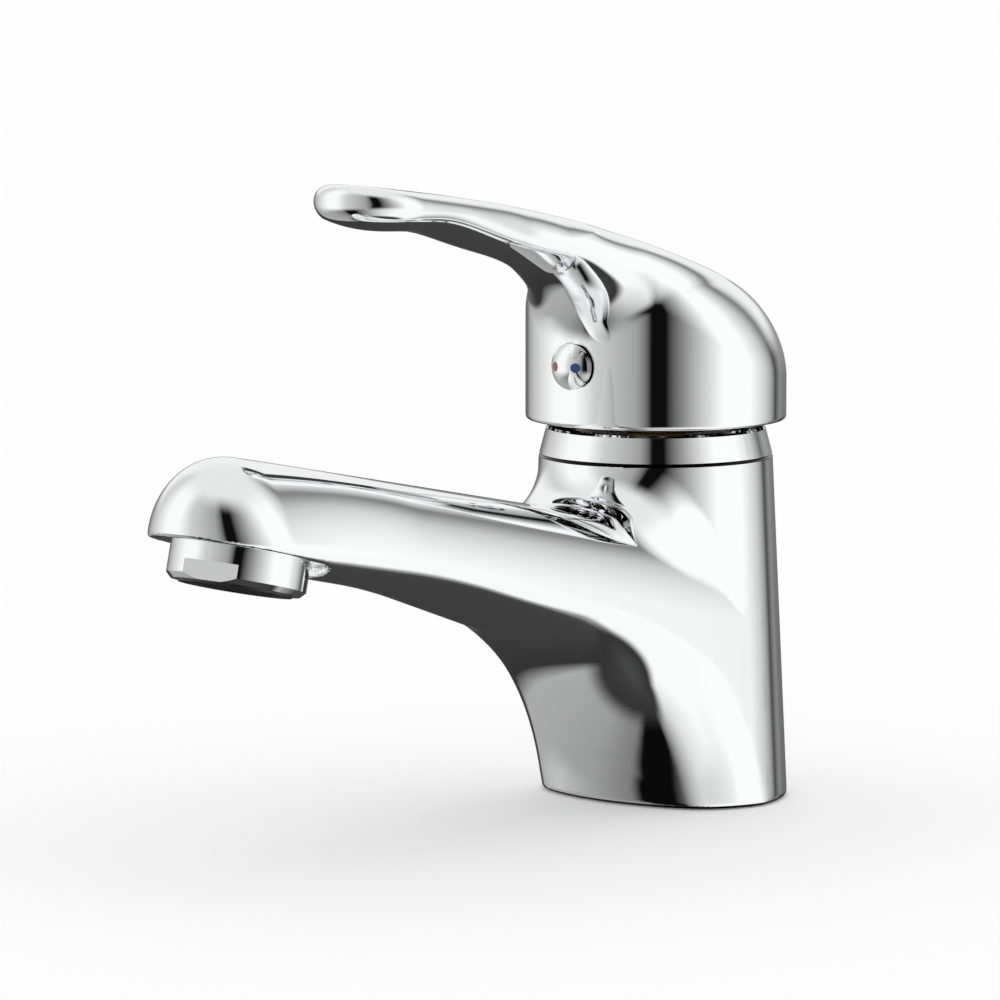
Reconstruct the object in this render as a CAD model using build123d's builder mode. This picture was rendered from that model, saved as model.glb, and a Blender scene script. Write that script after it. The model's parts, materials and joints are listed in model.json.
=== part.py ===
"""Single-lever basin mixer: cast body, ceramic-disc cartridge, lever and aerator.

Frame: origin in the deck plane on the cartridge axis, +Z up, the spout points towards -Y.
Sizes are in millimetres.
"""
from build123d import *
from math import cos, radians, sin, tan
import os

os.makedirs("parts", exist_ok=True)

# ---- driving dimensions -------------------------------------------------------------------------
# column and spout
COLUMN_BASE_R = 26.3  # column radius at the deck
COLUMN_TOP_R = 23.1  # column radius under the cover ring
COLUMN_TOP_Z = 68.0
SPOUT_REACH = 123.5  # cartridge axis to the middle of the spout head
HEAD_R = 16.4  # spout head in plan, at its widest level
HEAD_LEVEL = 66.0
RIDGE_ROOT = (-42.0, 62.4)  # a point of the spout's ridge near the neck (Y, Z)
RIDGE_RISE = 10.6  # degrees, towards the head
FRONT_FOOT_Y = -16.0  # front of the column at the deck
FRONT_LEAN = 18.0  # degrees
KEEL_ROOT = (-28.0, 30.5)  # corners of the underside's lowest line (Y, Z)
KEEL_MIDDLE = (-82.0, 48.3)
KEEL_RISE = 12.0  # degrees, from the middle to the head
KEEL_BEND_R = 50.0
KEEL_EASE_R = 200.0
BELLY_R = 42.0  # cross-section of the underside and of the column's front
SHOULDER_R = 10.0
LOWER_EDGE_R = 8.0
NECK_FILLET_R = 7.0

# seat and passages in the body
SEAT_Z = 36.0
CHAMBER_R = 17.7
NUT_THREAD_R = 20.0
THREAD_FOOT_Z = 59.0
INLETS = ((-8.5, 3.0), (8.5, 3.0))  # hot, cold (X, Y)
INLET_R = 3.5
INLET_THREAD_R = 4.5  # M10x1
INLET_THREAD_LENGTH = 12.0
OUTLET_PORT = (0.0, -9.5)
OUTLET_PORT_R = 4.0
OUTLET_PORT_FOOT_Z = 22.0
PASSAGE = ((-8.0, 23.5), (-45.0, 46.0), (-114.0, 64.0))  # from the port to the head (Y, Z)
PASSAGE_BEND_R = 20.0
PASSAGE_R = 4.5
MIXING_CHAMBER_R = 9.0
MIXING_CHAMBER_DEPTH = 12.0
PEG_HOLE_DEPTH = 2.5
PEGS = ((-11.5, -8.0), (11.5, -8.0))
PEG_R = 1.5
STUD_Y = 13.5
STUD_R = 3.4  # M8
STUD_DEPTH = 14.0
RECESS_DEPTH = 3.0
RECESS_R = 21.2
RECESS_FRONT_Y = -12.7

# 35 mm cartridge
CARTRIDGE_R = 17.5
BASE_TOP_Z = 41.0
FIXED_DISC_TOP_Z = 45.0
FIXED_DISC_R = 13.0
MOVING_DISC_TOP_Z = 48.0
MOVING_DISC_R = 11.0
MOVING_DISC_Y = 3.3  # the disc rests behind the axis and slides forward
CARRIER_TOP_Z = 53.2
CARRIER_R = 10.6
ROTOR_FOOT_Z = 53.4
ROTOR_FLANGE_TOP_Z = 64.0
CAP_FOOT_Z = 64.2
CARTRIDGE_TOP_Z = 66.5
CAVITY_R = 15.3
NECK_R = 10.5  # turning neck of the rotor
ROTOR_TOP_Z = 71.5
PIVOT_Z = 66.0  # stem pin, on which the lever tilts
PIVOT_R = 2.0
STEM_HALF = 4.0  # half of the stem's square
STEM_TOP_Z = 92.0
FOOT_Z = 51.2  # middle of the stem's round foot
FOOT_R = 3.0

# cover ring
RING_TOP_Z = 73.5
RING_FOOT_R = 23.0
RING_TOP_R = 21.7
RING_BORE_R = 20.4

# lever
HOOD_R = 25.8
HOOD_BORE_R = 24.3
RIM_Z = 74.9
ARM_HALF_W = 10.4
ARM_TIP_R = 11.4
ARM_TIP_Y = -85.8
SCREW_Z = 87.0
SCREW_R = 2.5
PLUG_R = 4.5
PLUG_FRONT_Y = -28.8
PLUG_DOME_R = 6.5
DOT_R = 0.9
DOT_X = 2.5

# aerator, M24x1, about the outlet's own axis
OUTLET_Y = -121.9
OUTLET_Z = 59.9
OUTLET_TILT = 14.0  # degrees, the mouth turns outwards
AERATOR_R = 13.0
AERATOR_DROP = 6.6
AERATOR_THREAD_R = 12.0
AERATOR_THREAD_LENGTH = 7.0
AERATOR_BORE_R = 10.6
WASHER_HEIGHT = 1.5
WASHER_BORE_R = 9.2
FLAT_HALF = 11.8  # half the distance between the spanner flats
FLAT_HEIGHT = 3.5
FLAT_TURN = 17.0  # degrees about the outlet's axis

# fits
RUN = 0.06  # radial clearance of turning and sliding pieces
SNUG = 0.03  # clearance of pieces that sit still in each other

column_slope = (COLUMN_BASE_R - COLUMN_TOP_R) / COLUMN_TOP_Z
ridge_slope = tan(radians(RIDGE_RISE))
lean_slope = tan(radians(FRONT_LEAN))
keel_slope = tan(radians(KEEL_RISE))


def export(piece, name):
    """Label a finished piece and write it to its own STEP file."""
    piece.part.label = name
    export_step(piece.part, f"parts/{name}.step")


def ring(outer_r, inner_r, low_z, high_z, mode=Mode.ADD):
    """A ring, or a disc when inner_r is 0, about the Z axis of the part being built."""
    with BuildSketch(Plane.XY.offset(low_z)) as outline:
        Circle(outer_r)
        if inner_r > 0:
            Circle(inner_r, mode=Mode.SUBTRACT)
    extrude(outline.sketch, amount=high_z - low_z, mode=mode)


def drill(places, radius, low_z, high_z, mode=Mode.SUBTRACT):
    """Round holes (or pegs, with Mode.ADD) along Z at a list of (X, Y) places."""
    with BuildSketch(Plane.XY.offset(low_z)) as outline:
        with Locations(*places):
            Circle(radius)
    extrude(outline.sketch, amount=high_z - low_z, mode=mode)


def block(half_x, low_y, high_y, low_z, high_z, mode=Mode.ADD):
    """A box centred on X = 0."""
    with BuildSketch(Plane.XY.offset(low_z)) as outline:
        with Locations((0, (low_y + high_y) / 2)):
            Rectangle(2 * half_x, high_y - low_y)
    extrude(outline.sketch, amount=high_z - low_z, mode=mode)


# ---- body ---------------------------------------------------------------------------------------
# outlet plane: on the head's underside, its Z axis goes up into the head
outlet = Plane(
    origin=(0, OUTLET_Y, OUTLET_Z),
    x_dir=(1, 0, 0),
    z_dir=(0, sin(radians(OUTLET_TILT)), cos(radians(OUTLET_TILT))),
)


def wall_radius(radius_at_level, level, height):
    """Radius of a drafted round wall at a height, from its radius at a level."""
    return radius_at_level - (height - level) * column_slope


# everything above and behind the underside's lowest line, as a fat tube that follows it
KEEL_DROP = 24.0  # the line starts this far below the deck
KEEL_FAR_Y = -160.0
with BuildPart() as underside:
    with BuildLine(Plane.YZ) as keel:
        FilletPolyline(
            (FRONT_FOOT_Y + KEEL_DROP * lean_slope, -KEEL_DROP),
            KEEL_ROOT,
            KEEL_MIDDLE,
            (KEEL_FAR_Y, KEEL_MIDDLE[1] + (KEEL_MIDDLE[0] - KEEL_FAR_Y) * keel_slope),
            radius=[KEEL_BEND_R, KEEL_EASE_R],
        )
    with BuildSketch(Plane(origin=keel.line @ 0, x_dir=(1, 0, 0), z_dir=keel.line % 0)):
        with Locations((0, BELLY_R)):
            Circle(BELLY_R)
    sweep()

ROOT_BACK_Y = -1.5  # the ridge ends here, inside the neck
RIDGE_FAR_Y = -150.0
WALL_TOP_Z = 90.0
with BuildPart() as casting:
    # side walls: column circle and head circle with their common tangents, drafted
    for level in (0, WALL_TOP_Z):
        with BuildSketch(Plane.XY.offset(level)):
            Circle(wall_radius(COLUMN_BASE_R, 0, level))
            with Locations((0, -SPOUT_REACH)):
                Circle(wall_radius(HEAD_R, HEAD_LEVEL, level))
            make_hull()
    loft(ruled=True)
    # top: the spout's sloping ridge and the column's flat top
    with BuildSketch(Plane.YZ):
        with BuildLine():
            Polyline(
                (60, -5),
                (60, COLUMN_TOP_Z),
                (ROOT_BACK_Y, COLUMN_TOP_Z),
                (ROOT_BACK_Y, RIDGE_ROOT[1] - (ROOT_BACK_Y - RIDGE_ROOT[0]) * ridge_slope),
                (RIDGE_FAR_Y, RIDGE_ROOT[1] - (RIDGE_FAR_Y - RIDGE_ROOT[0]) * ridge_slope),
                (RIDGE_FAR_Y, -5),
                close=True,
            )
        make_face()
    extrude(amount=60, both=True, mode=Mode.INTERSECT)
    add(underside.part, mode=Mode.INTERSECT)
    # soft shoulders along the ridge and round the head
    above_neck = casting.edges().filter_by(lambda e: e.bounding_box().max.Z > COLUMN_TOP_Z + 2)
    fillet(above_neck.filter_by(lambda e: e.bounding_box().size.Y > 10), radius=SHOULDER_R)
    # soft lower edges, from the column's foot to the head
    low_edges = casting.edges().filter_by(GeomType.BSPLINE)
    low_edges = low_edges.filter_by(lambda e: e.bounding_box().min.Z < 50)
    low_edges = low_edges.filter_by(lambda e: e.bounding_box().size.Y > 1)
    low_edges = low_edges.filter_by(lambda e: e.bounding_box().max.Z < OUTLET_Z + 6)
    fillet(low_edges.filter_by(lambda e: e.bounding_box().size.X < 12), radius=LOWER_EDGE_R)

NECK_ROOT_Z = 46.0  # the neck starts inside the spout's root
NECK_INSET = 0.04  # keeps the neck's wall just inside the column's
with BuildPart() as body:
    add(casting.part)
    for level in (NECK_ROOT_Z, COLUMN_TOP_Z):
        with BuildSketch(Plane.XY.offset(level)):
            Circle(wall_radius(COLUMN_BASE_R, 0, level) - NECK_INSET)
    loft()
    neck_corner = body.edges().filter_by(GeomType.ELLIPSE)
    neck_corner = neck_corner.filter_by(lambda e: e.bounding_box().min.Z > NECK_ROOT_Z + 5)
    fillet(neck_corner.filter_by(lambda e: e.bounding_box().max.Y < ROOT_BACK_Y), radius=NECK_FILLET_R)
    # outlet face: flat about the aerator and forward of it
    FACE_R = 16.2
    with BuildSketch(outlet):
        Circle(FACE_R)
        with Locations((0, -FACE_R)):
            Rectangle(4 * FACE_R, 2 * FACE_R)
    extrude(amount=-15, mode=Mode.SUBTRACT)
    # outlet bore: thread, then the mixing chamber
    with BuildSketch(outlet):
        Circle(AERATOR_THREAD_R + SNUG)
    extrude(amount=AERATOR_THREAD_LENGTH + WASHER_HEIGHT, mode=Mode.SUBTRACT)
    with BuildSketch(outlet):
        Circle(MIXING_CHAMBER_R)
    extrude(amount=MIXING_CHAMBER_DEPTH, mode=Mode.SUBTRACT)
    # cartridge chamber and the nut's thread
    ring(CHAMBER_R, 0, SEAT_Z, COLUMN_TOP_Z, Mode.SUBTRACT)
    ring(NUT_THREAD_R, 0, THREAD_FOOT_Z, COLUMN_TOP_Z, Mode.SUBTRACT)
    drill(PEGS, PEG_R + SNUG, SEAT_Z - PEG_HOLE_DEPTH, SEAT_Z)
    # inlets, outlet port and the passage through the spout
    drill(INLETS, INLET_R, RECESS_DEPTH, SEAT_Z)
    drill(INLETS, INLET_THREAD_R, RECESS_DEPTH, RECESS_DEPTH + INLET_THREAD_LENGTH)
    drill([OUTLET_PORT], OUTLET_PORT_R, OUTLET_PORT_FOOT_Z, SEAT_Z)
    with BuildLine(Plane.YZ) as passage:
        FilletPolyline(*PASSAGE, radius=PASSAGE_BEND_R)
    with BuildSketch(Plane(origin=passage.line @ 0, x_dir=(1, 0, 0), z_dir=passage.line % 0)):
        Circle(PASSAGE_R)
    sweep(path=passage.line, mode=Mode.SUBTRACT)
    # underside: recess for the gasket, stud hole
    with BuildSketch():
        Circle(RECESS_R)
        with Locations((0, RECESS_FRONT_Y + BELLY_R)):
            Circle(BELLY_R, mode=Mode.INTERSECT)
    extrude(amount=RECESS_DEPTH, mode=Mode.SUBTRACT)
    drill([(0, STUD_Y)], STUD_R, RECESS_DEPTH, RECESS_DEPTH + STUD_DEPTH)
export(body, "body")

with BuildPart() as base_gasket:
    with BuildSketch():
        Circle(RECESS_R - SNUG)
        with Locations((0, RECESS_FRONT_Y + BELLY_R)):
            Circle(BELLY_R - SNUG, mode=Mode.INTERSECT)
        with Locations(*INLETS):
            Circle(INLET_THREAD_R + 1.5, mode=Mode.SUBTRACT)
        with Locations((0, STUD_Y)):
            Circle(STUD_R + 1, mode=Mode.SUBTRACT)
    extrude(amount=RECESS_DEPTH)
export(base_gasket, "base_gasket")


# ---- cartridge, from its base upwards ------------------------------------------------------------
PORTS = (*INLETS, OUTLET_PORT)
SEAL_R = 5.2
SEAL_HEIGHT = 1.2


def port_rings(low_z):
    """Three rubber rings, one round each port."""
    drill(PORTS, SEAL_R, low_z, low_z + SEAL_HEIGHT, Mode.ADD)
    drill(PORTS, OUTLET_PORT_R, low_z, low_z + SEAL_HEIGHT)


with BuildPart() as cartridge_base:
    ring(CARTRIDGE_R, 0, SEAT_Z, BASE_TOP_Z)
    ring(CAVITY_R - SNUG, FIXED_DISC_R + SNUG, BASE_TOP_Z, FIXED_DISC_TOP_Z - 1)
    drill(PEGS, PEG_R, SEAT_Z - 2, SEAT_Z, Mode.ADD)
    drill(PORTS, INLET_R, SEAT_Z, BASE_TOP_Z)
    drill(PORTS, SEAL_R, SEAT_Z, SEAT_Z + SEAL_HEIGHT)
    drill(PORTS, SEAL_R, BASE_TOP_Z - SEAL_HEIGHT, BASE_TOP_Z)
export(cartridge_base, "cartridge_base")

with BuildPart() as port_seals:
    port_rings(SEAT_Z)
export(port_seals, "port_seals")

with BuildPart() as disc_seals:
    port_rings(BASE_TOP_Z - SEAL_HEIGHT)
export(disc_seals, "disc_seals")

with BuildPart() as fixed_disc:
    ring(FIXED_DISC_R, 0, BASE_TOP_Z, FIXED_DISC_TOP_Z)
    drill(PORTS, INLET_R - 0.5, BASE_TOP_Z, FIXED_DISC_TOP_Z)
export(fixed_disc, "fixed_disc")

DISC_GAP = 0.05  # water film between the ceramic discs
MIXING_DEPTH = 2.4
with BuildPart() as moving_disc:
    with BuildSketch(Plane.XY.offset(FIXED_DISC_TOP_Z + DISC_GAP)):
        with Locations((0, MOVING_DISC_Y)):
            Circle(MOVING_DISC_R)
    extrude(amount=MOVING_DISC_TOP_Z - FIXED_DISC_TOP_Z - DISC_GAP)
    with BuildSketch(Plane.XY.offset(FIXED_DISC_TOP_Z + DISC_GAP)):
        with Locations((0, MOVING_DISC_Y - 3)):
            Ellipse(5.5, 6.5)
    extrude(amount=MIXING_DEPTH, mode=Mode.SUBTRACT)
export(moving_disc, "moving_disc")

RAIL_X = 7.2
RAIL_HALF_W = 1.0
RAIL_TOP_Z = 54.8
with BuildPart() as disc_carrier:
    with BuildSketch(Plane.XY.offset(MOVING_DISC_TOP_Z)):
        with Locations((0, MOVING_DISC_Y)):
            Circle(CARRIER_R)
    extrude(amount=CARRIER_TOP_Z - MOVING_DISC_TOP_Z)
    with BuildSketch(Plane.XY.offset(CARRIER_TOP_Z)):
        with Locations((-RAIL_X, MOVING_DISC_Y), (RAIL_X, MOVING_DISC_Y)):
            Rectangle(2 * RAIL_HALF_W, 11)
    extrude(amount=RAIL_TOP_Z - CARRIER_TOP_Z)
    # pocket for the stem's round foot
    block(FOOT_R + 0.1, -FOOT_R - 0.4, FOOT_R + 0.4, MOVING_DISC_TOP_Z, CARRIER_TOP_Z, Mode.SUBTRACT)
export(disc_carrier, "disc_carrier")

PIN_HALF = 9.2
ROTOR_GROOVE_R = NECK_R - 1.1
ROTOR_GROOVE_Z = (CAP_FOOT_Z + 0.3, CAP_FOOT_Z + 1.5)
SLOT_HALF_X = STEM_HALF + RUN
with BuildPart() as cartridge_rotor:
    ring(CAVITY_R - RUN, 0, ROTOR_FOOT_Z, ROTOR_FLANGE_TOP_Z)
    ring(NECK_R, 0, ROTOR_FLANGE_TOP_Z, ROTOR_TOP_Z)
    # the stem swings in a slot that opens forward below the pin and backward above it
    block(SLOT_HALF_X, -9.7, 4.4, ROTOR_FOOT_Z, PIVOT_Z - 6, Mode.SUBTRACT)
    block(SLOT_HALF_X, -6.5, 4.4, PIVOT_Z - 6, PIVOT_Z, Mode.SUBTRACT)
    block(SLOT_HALF_X, -4.4, 8.4, PIVOT_Z - 4, ROTOR_TOP_Z, Mode.SUBTRACT)
    # grooves for the carrier's rails
    with BuildSketch(Plane.XY.offset(ROTOR_FOOT_Z)):
        with Locations((-RAIL_X, 0), (RAIL_X, 0)):
            Rectangle(2 * (RAIL_HALF_W + RUN), 4 * CAVITY_R)
    extrude(amount=RAIL_TOP_Z + 0.2 - ROTOR_FOOT_Z, mode=Mode.SUBTRACT)
    # stem pin's hole, then the seal's groove in the neck
    with BuildSketch(Plane.YZ):
        with Locations((0, PIVOT_Z)):
            Circle(PIVOT_R + SNUG)
    extrude(amount=NECK_R + 1, both=True, mode=Mode.SUBTRACT)
    ring(NECK_R + 1, ROTOR_GROOVE_R, *ROTOR_GROOVE_Z, Mode.SUBTRACT)
export(cartridge_rotor, "cartridge_rotor")

with BuildPart() as rotor_seal:
    ring(NECK_R, ROTOR_GROOVE_R, *ROTOR_GROOVE_Z)
export(rotor_seal, "rotor_seal")

with BuildPart() as stem_pin:
    with BuildSketch(Plane.YZ):
        with Locations((0, PIVOT_Z)):
            Circle(PIVOT_R)
    extrude(amount=PIN_HALF, both=True)
export(stem_pin, "stem_pin")

with BuildPart() as stem:
    block(STEM_HALF, -STEM_HALF, STEM_HALF, PIVOT_Z - 4, STEM_TOP_Z)
    chamfer(stem.faces().sort_by(Axis.Z)[-1].edges(), length=0.6)
    # shank, narrow along the swing, and the round foot across it
    with BuildSketch(Plane.YZ):
        with BuildLine():
            Polyline(
                (-2.0, FOOT_Z),
                (2.0, FOOT_Z),
                (2.0, PIVOT_Z - 8),
                (STEM_HALF, PIVOT_Z - 4),
                (-STEM_HALF, PIVOT_Z - 4),
                (-2.0, PIVOT_Z - 8),
                close=True,
            )
        make_face()
        with Locations((0, FOOT_Z)):
            Circle(FOOT_R)
    extrude(amount=2.9, both=True)
    with BuildSketch(Plane.YZ):
        with Locations((0, PIVOT_Z)):
            Circle(PIVOT_R + RUN)
    extrude(amount=STEM_HALF + 1, both=True, mode=Mode.SUBTRACT)
export(stem, "stem")

GROOVE_R = CARTRIDGE_R - 1.2
GROOVE_Z = (47.0, 48.6)
with BuildPart() as cartridge_housing:
    ring(CARTRIDGE_R, CAVITY_R, BASE_TOP_Z, CAP_FOOT_Z)
    ring(CARTRIDGE_R, NECK_R + RUN, CAP_FOOT_Z, CARTRIDGE_TOP_Z)
    ring(CARTRIDGE_R + 1, GROOVE_R, *GROOVE_Z, Mode.SUBTRACT)
export(cartridge_housing, "cartridge_housing")

with BuildPart() as housing_seal:
    ring(CHAMBER_R, GROOVE_R, *GROOVE_Z)
export(housing_seal, "housing_seal")

NUT_FOOT_Z = 60.5
NUT_WEB_TOP_Z = 68.6
NUT_BARREL_R = 18.6
NUT_BARREL_TOP_Z = 71.6
NUT_BORE_R = 11.0
HEX_FLATS = 30.0
HEX_HEIGHT = 1.2
with BuildPart() as cartridge_nut:
    ring(NUT_THREAD_R - SNUG, CARTRIDGE_R + 0.1, NUT_FOOT_Z, CARTRIDGE_TOP_Z)
    ring(NUT_THREAD_R - SNUG, NUT_BORE_R, CARTRIDGE_TOP_Z, NUT_WEB_TOP_Z)
    ring(NUT_BARREL_R, NUT_BORE_R, NUT_WEB_TOP_Z, NUT_BARREL_TOP_Z)
    with BuildSketch(Plane.XY.offset(NUT_BARREL_TOP_Z)):
        RegularPolygon(radius=HEX_FLATS / 2, side_count=6, major_radius=False)
        Circle(NUT_BORE_R, mode=Mode.SUBTRACT)
    extrude(amount=HEX_HEIGHT)
export(cartridge_nut, "cartridge_nut")


# ---- cover ring -----------------------------------------------------------------------------------
with BuildPart() as cover_ring:
    with BuildSketch(Plane.XZ):
        with BuildLine():
            Polyline(
                (RING_BORE_R, COLUMN_TOP_Z),
                (RING_FOOT_R - 0.2, COLUMN_TOP_Z),
                (RING_FOOT_R, COLUMN_TOP_Z + 0.2),
                (RING_TOP_R, RING_TOP_Z - 0.4),
                (RING_TOP_R - 0.4, RING_TOP_Z),
                (NUT_BARREL_R + 0.3, RING_TOP_Z),
                (NUT_BARREL_R + 0.3, RING_TOP_Z - 1.3),
                (RING_BORE_R, RING_TOP_Z - 1.3),
                close=True,
            )
        make_face()
    revolve(axis=Axis.Z)
export(cover_ring, "cover_ring")

RING_SEAL_Z = (69.4, 71.2)
with BuildPart() as cover_ring_seal:
    ring(RING_BORE_R, NUT_BARREL_R, *RING_SEAL_Z)
export(cover_ring_seal, "cover_ring_seal")


# ---- lever ----------------------------------------------------------------------------------------
# side outline (Y, Z): top from the tip over the arm to the hood's back, underside from hood to tip
LEVER_TOP = (
    (-98.5, 124.6),
    (-95.0, 126.2),
    (-77.0, 124.0),
    (-48.0, 119.7),
    (-17.6, 113.8),
    (3.0, 110.2),
    (12.0, 107.5),
    (20.0, 103.0),
    (28.0, 93.5),
)
ARM_FOOT = (
    (-26.0, 97.5),
    (-28.5, 103.0),
    (-36.0, 107.0),
    (-48.0, 110.4),
    (-77.0, 116.2),
    (-90.0, 117.4),
    (-99.0, 120.6),
)
ARM_WAIST_Y = -50.0
CEILING = ((0, 103.0), (14.0, 99.0), (HOOD_BORE_R, 87.0))  # inside of the hood (radius, Z)
BOSS_HALF = 7.5
BOSS_FOOT_Z = 79.0
SCREW_BOSS_R = 6.5
PLUG_SEAT_Y = -24.2


def along_y(radius, front_y, back_y, mode=Mode.ADD):
    """A round boss or hole along Y at the grub screw's height."""
    with BuildSketch(Plane.XZ.offset(-back_y)) as outline:
        with Locations((0, SCREW_Z)):
            Circle(radius)
    extrude(outline.sketch, amount=back_y - front_y, mode=mode)


with BuildPart() as lever_handle:
    # hood and arm between one side outline
    ring(HOOD_R, 0, RIM_Z, 130)
    with BuildSketch(Plane.XY.offset(ARM_FOOT[0][1])):
        with BuildLine():
            right = Polyline((ARM_HALF_W, -10), (ARM_HALF_W, ARM_WAIST_Y), (ARM_TIP_R, ARM_TIP_Y))
            left = mirror(right, about=Plane.YZ)
            ThreePointArc(right @ 1, (0, ARM_TIP_Y - ARM_TIP_R), left @ 1)
            Line(left @ 0, right @ 0)
        make_face()
    extrude(amount=35)
    with BuildSketch(Plane.YZ.offset(-30)):
        with BuildLine():
            Spline(*LEVER_TOP)
            Polyline(LEVER_TOP[-1], (28, 70), (ARM_FOOT[0][0], 70), ARM_FOOT[0])
            Spline(*ARM_FOOT)
            Line(ARM_FOOT[-1], LEVER_TOP[0])
        make_face()
    extrude(amount=60, mode=Mode.INTERSECT)
    # where the arm meets the hood, then the long edges
    uprights = lever_handle.edges().filter_by(Axis.Z)
    uprights = uprights.filter_by(lambda e: -HOOD_R < e.center().Y < -10)
    fillet(uprights.filter_by(lambda e: e.length > 10), radius=2.5)
    outline_edges = lever_handle.edges().filter_by(GeomType.BSPLINE)
    outline_edges = outline_edges.filter_by(lambda e: e.bounding_box().min.Z > 96)
    fillet(
        outline_edges.filter_by(lambda e: e.bounding_box().max.Z > 115.1 or e.bounding_box().size.X > 10),
        radius=3.5,
    )
    # hollow hood
    with BuildSketch(Plane.XZ):
        with BuildLine():
            Polyline((0, 70), CEILING[0], CEILING[1], CEILING[2], (HOOD_BORE_R, 70), close=True)
        make_face()
    revolve(axis=Axis.Z, mode=Mode.SUBTRACT)
    # boss with the stem's socket, screw boss from it to the front wall
    block(BOSS_HALF, -BOSS_HALF, BOSS_HALF, BOSS_FOOT_Z, CEILING[1][1] + 2)
    along_y(SCREW_BOSS_R, -HOOD_BORE_R - 0.5, 0)
    socket_half = STEM_HALF + SNUG
    block(socket_half, -socket_half, socket_half, BOSS_FOOT_Z, STEM_TOP_Z + 0.5, Mode.SUBTRACT)
    along_y(SCREW_R + SNUG, -HOOD_R - 1, 0, Mode.SUBTRACT)
    along_y(PLUG_R + 0.3, -HOOD_R - 1, PLUG_SEAT_Y, Mode.SUBTRACT)
export(lever_handle, "lever_handle")

SCREW_TIP_Y = -STEM_HALF - SNUG
SCREW_LENGTH = 12.0
with BuildPart() as grub_screw:
    along_y(SCREW_R, SCREW_TIP_Y - SCREW_LENGTH, SCREW_TIP_Y)
    with BuildSketch(Plane.XZ.offset(-SCREW_TIP_Y + SCREW_LENGTH)):
        with Locations((0, SCREW_Z)):
            RegularPolygon(radius=1.25, side_count=6, major_radius=False)
    extrude(amount=-3, mode=Mode.SUBTRACT)
export(grub_screw, "grub_screw")

PLUG_RIM_Y = PLUG_FRONT_Y + PLUG_DOME_R - (PLUG_DOME_R**2 - PLUG_R**2) ** 0.5
PLUG_TAIL_Y = -17.5
DOT_FOOT_Y = PLUG_FRONT_Y + 1.6
with BuildPart() as plug_dome:
    with BuildSketch(Plane.YZ):
        with BuildLine():
            dome = CenterArc((PLUG_FRONT_Y + PLUG_DOME_R, SCREW_Z), PLUG_DOME_R, 180, -43.813)
            Polyline(dome @ 1, (PLUG_SEAT_Y, SCREW_Z + PLUG_R), (PLUG_SEAT_Y, SCREW_Z), dome @ 0)
        make_face()
    revolve(axis=Axis((0, 0, SCREW_Z), (0, 1, 0)))

with BuildPart() as index_plug:
    add(plug_dome.part)
    along_y(SCREW_R - SNUG, PLUG_SEAT_Y, PLUG_TAIL_Y)
    with BuildSketch(Plane.XZ.offset(-DOT_FOOT_Y)):
        with Locations((-DOT_X, SCREW_Z), (DOT_X, SCREW_Z)):
            Circle(DOT_R + SNUG)
    extrude(amount=5, mode=Mode.SUBTRACT)
export(index_plug, "index_plug")

for dot_x, dot_name in ((-DOT_X, "hot_dot"), (DOT_X, "cold_dot")):
    with BuildPart() as dot:
        add(plug_dome.part)
        with BuildSketch(Plane.XZ.offset(-DOT_FOOT_Y)):
            with Locations((dot_x, SCREW_Z)):
                Circle(DOT_R)
        extrude(amount=5, mode=Mode.INTERSECT)
    export(dot, dot_name)


# ---- aerator --------------------------------------------------------------------------------------
def about_outlet(outer_r, inner_r, low, high, mode=Mode.ADD):
    """A ring or disc about the outlet's axis, from low to high above the outlet face."""
    with BuildSketch(outlet.offset(low)) as outline:
        Circle(outer_r)
        if inner_r > 0:
            Circle(inner_r, mode=Mode.SUBTRACT)
    extrude(outline.sketch, amount=high - low, mode=mode)


def pierce(places, radius, low, high):
    """Small round holes along the outlet's axis."""
    with BuildSketch(outlet.offset(low)) as outline:
        with Locations(*places):
            Circle(radius)
    extrude(outline.sketch, amount=high - low, mode=Mode.SUBTRACT)


def hole_rings(pitch, count):
    """Hole centres: one in the middle and rings of 6, 12, ... round it."""
    places = [(0.0, 0.0)]
    for row in range(1, count + 1):
        for step in range(6 * row):
            angle = 60 * step / row
            places.append((row * pitch * cos(radians(angle)), row * pitch * sin(radians(angle))))
    return places


with BuildPart() as aerator_housing:
    about_outlet(AERATOR_R, 0, -AERATOR_DROP, 0)
    chamfer(aerator_housing.edges().sort_by(outlet.location.z_axis)[0], length=1.0)
    about_outlet(AERATOR_THREAD_R, 0, 0, AERATOR_THREAD_LENGTH)
    about_outlet(AERATOR_BORE_R, 0, -AERATOR_DROP, AERATOR_THREAD_LENGTH, Mode.SUBTRACT)
    with BuildSketch(outlet.offset(-AERATOR_DROP)):
        with Locations(Location((0, 0), FLAT_TURN)):
            with Locations((0, FLAT_HALF + 5), (0, -FLAT_HALF - 5)):
                Rectangle(30, 10)
    extrude(amount=FLAT_HEIGHT, mode=Mode.SUBTRACT)
export(aerator_housing, "aerator_housing")

with BuildPart() as aerator_washer:
    about_outlet(
        AERATOR_THREAD_R,
        WASHER_BORE_R,
        AERATOR_THREAD_LENGTH,
        AERATOR_THREAD_LENGTH + WASHER_HEIGHT,
    )
export(aerator_washer, "aerator_washer")

CAGE_R = AERATOR_BORE_R - SNUG
CAGE_BORE_R = 9.4
with BuildPart() as aerator_cage:
    about_outlet(CAGE_R, CAGE_BORE_R, -AERATOR_DROP - 0.4, AERATOR_THREAD_LENGTH)
    about_outlet(CAGE_R, 0, -1.0, 0.2)
    pierce(hole_rings(2.7, 3), 0.9, -2, 1)
export(aerator_cage, "aerator_cage")

with BuildPart() as flow_straightener:
    about_outlet(CAGE_BORE_R - SNUG, 0, -AERATOR_DROP - 0.2, -4.6)
    pierce(hole_rings(2.3, 3), 0.98, -AERATOR_DROP - 1, -4)
export(flow_straightener, "flow_straightener")

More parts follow.
